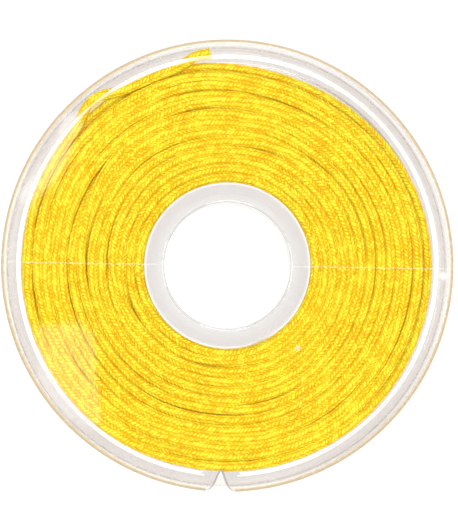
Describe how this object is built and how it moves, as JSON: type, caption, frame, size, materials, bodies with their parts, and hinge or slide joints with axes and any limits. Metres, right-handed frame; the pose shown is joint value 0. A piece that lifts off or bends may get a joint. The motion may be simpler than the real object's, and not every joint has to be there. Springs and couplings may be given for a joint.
{
  "type": "fishing line spool",
  "caption": "Round clear plastic spool with raised rims, a catch notch and a plain through bore, wound with thick braided cord.",
  "frame": {"origin": "on the spool's axis, in the plane of the rear rim that the spool rests on", "axes": "+Z along the axis, from the rear flange to the notched front flange; -Y points to within 2 degrees of the catch notch"},
  "size_m": [0.068, 0.068, 0.023],
  "materials": {
    "clear_plastic": "clear, polished, moulded",
    "cord": "braided, matt to slightly glossy yarn"
  },
  "bodies": {
    "root": {"front_half": "clear_plastic", "rear_half": "clear_plastic", "cord_winding": "cord", "cord_tail": "cord"}
  },
  "joints": []
}
